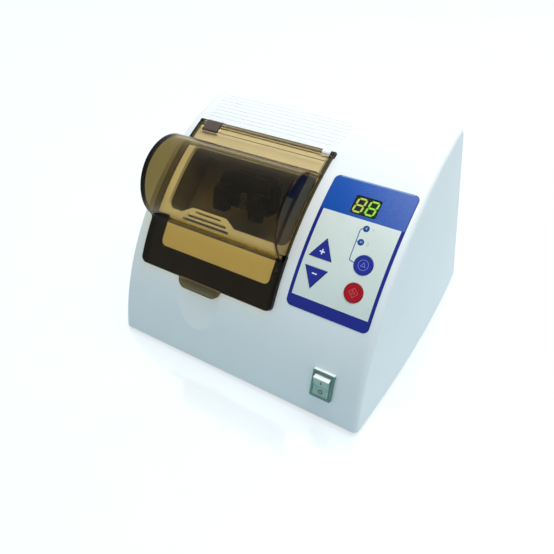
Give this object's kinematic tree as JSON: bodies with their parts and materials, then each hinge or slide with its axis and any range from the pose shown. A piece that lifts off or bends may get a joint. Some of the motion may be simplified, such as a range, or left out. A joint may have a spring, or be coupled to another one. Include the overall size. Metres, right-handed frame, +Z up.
{
  "type": "dental amalgamator",
  "caption": "Bench-top capsule mixer: curved white casing, hinged smoked cover over a swinging fork, keypad with display, and a rocker switch.",
  "frame": {"origin": "on the bench under the middle of the machine: bottom centre of the bounding box", "axes": "+X to the right and -Y to the front for someone facing the keypad, +Z up"},
  "size_m": [0.208, 0.193, 0.1465],
  "materials": {
    "casing_white": "satin",
    "base_steel": "satin",
    "black_rubber": "matte",
    "screw_steel": "satin",
    "liner_black": "matte",
    "sensor_dark": "gloss",
    "clip_brown": "gloss",
    "keypad_print": "satin",
    "window_dark": "gloss",
    "display_black": "matte",
    "lamp_blue": "gloss",
    "board_green": "satin",
    "bezel_grey": "satin",
    "inlet_black": "satin",
    "frame_alloy": "satin",
    "motor_paint": "satin",
    "bush_bronze": "satin",
    "smoked_acrylic": "gloss",
    "arrow_blue": "satin",
    "key_blue": "satin",
    "key_red": "satin",
    "rocker_white": "gloss",
    "shaft_steel": "polished",
    "fork_black": "satin"
  },
  "bodies": {
    "casing": {"casing_shell": "casing_white", "base_plate": "base_steel", "rubber_feet": "black_rubber", "foot_screws": "screw_steel", "base_screws": "screw_steel", "bay_liner": "liner_black", "bay_screws": "screw_steel", "rest_pad": "black_rubber", "cover_sensor": "sensor_dark", "hinge_pin": "screw_steel", "hinge_clip": "clip_brown", "keypad_overlay": "keypad_print", "display_window": "window_dark", "display_module": "display_black", "mode_lamps": "lamp_blue", "control_board": "board_green", "board_screws": "screw_steel", "key_switches": "display_black", "switch_housing": "bezel_grey", "mains_inlet": "inlet_black", "inlet_screws": "screw_steel", "fuse_holder": "inlet_black", "motor_frame": "frame_alloy", "frame_mounts": "black_rubber", "frame_screws": "screw_steel", "motor_body": "motor_paint", "motor_screws": "screw_steel", "shaft_bearing": "bush_bronze"},
    "cover": {"smoked_cover": "smoked_acrylic"},
    "up_button": {"up_key": "arrow_blue"},
    "down_button": {"down_key": "arrow_blue"},
    "mode_button": {"mode_key": "key_blue"},
    "start_button": {"start_key": "key_red"},
    "rocker": {"switch_rocker": "rocker_white"},
    "shaft": {"drive_shaft": "shaft_steel"},
    "arm": {"mixing_arm": "frame_alloy", "fork_head": "fork_black", "arm_screws": "screw_steel", "jaw_pin": "screw_steel"},
    "jaw": {"clamp_jaw": "fork_black"}
  },
  "joints": [
    {"name": "cover_hinge", "type": "hinge", "parent": "casing", "child": "cover", "pos_m": [0, 0.00589, 0.13534], "axis": [-1, 0, 0], "range_deg": [0, 110]},
    {"name": "up_press", "type": "slide", "parent": "casing", "child": "up_button", "axis": [0, 0.7028, -0.7114], "range_m": [0, 0.0004], "stiffness_N_per_m": 1500, "springref_m": -0.0004},
    {"name": "down_press", "type": "slide", "parent": "casing", "child": "down_button", "axis": [0, 0.7651, -0.6439], "range_m": [0, 0.0004], "stiffness_N_per_m": 1500, "springref_m": -0.0004},
    {"name": "mode_press", "type": "slide", "parent": "casing", "child": "mode_button", "axis": [0, 0.702, -0.7122], "range_m": [0, 0.0004], "stiffness_N_per_m": 1500, "springref_m": -0.0004},
    {"name": "start_press", "type": "slide", "parent": "casing", "child": "start_button", "axis": [0, 0.7743, -0.6328], "range_m": [0, 0.0004], "stiffness_N_per_m": 1500, "springref_m": -0.0004},
    {"name": "rocker_tilt", "type": "hinge", "parent": "casing", "child": "rocker", "pos_m": [0.0719, -0.08975, 0.02865], "axis": [-1, 0, 0], "range_deg": [0, 26]},
    {"name": "shaft_spin", "type": "hinge", "parent": "casing", "child": "shaft", "pos_m": [-0.023, 0.03348, 0.08753], "axis": [1, 0, 0], "continuous": true},
    {"name": "arm_swing", "type": "hinge", "parent": "casing", "child": "arm", "pos_m": [-0.023, 0.03348, 0.08753], "axis": [0, 0.2652, 0.9642], "range_deg": [-5, 5]},
    {"name": "jaw_open", "type": "hinge", "parent": "arm", "child": "jaw", "pos_m": [-0.0085, -0.02775, 0.10437], "axis": [0, 0.2652, 0.9642], "range_deg": [0, 14], "stiffness_Nm_per_rad": 0.3, "springref_deg": -11.46}
  ]
}
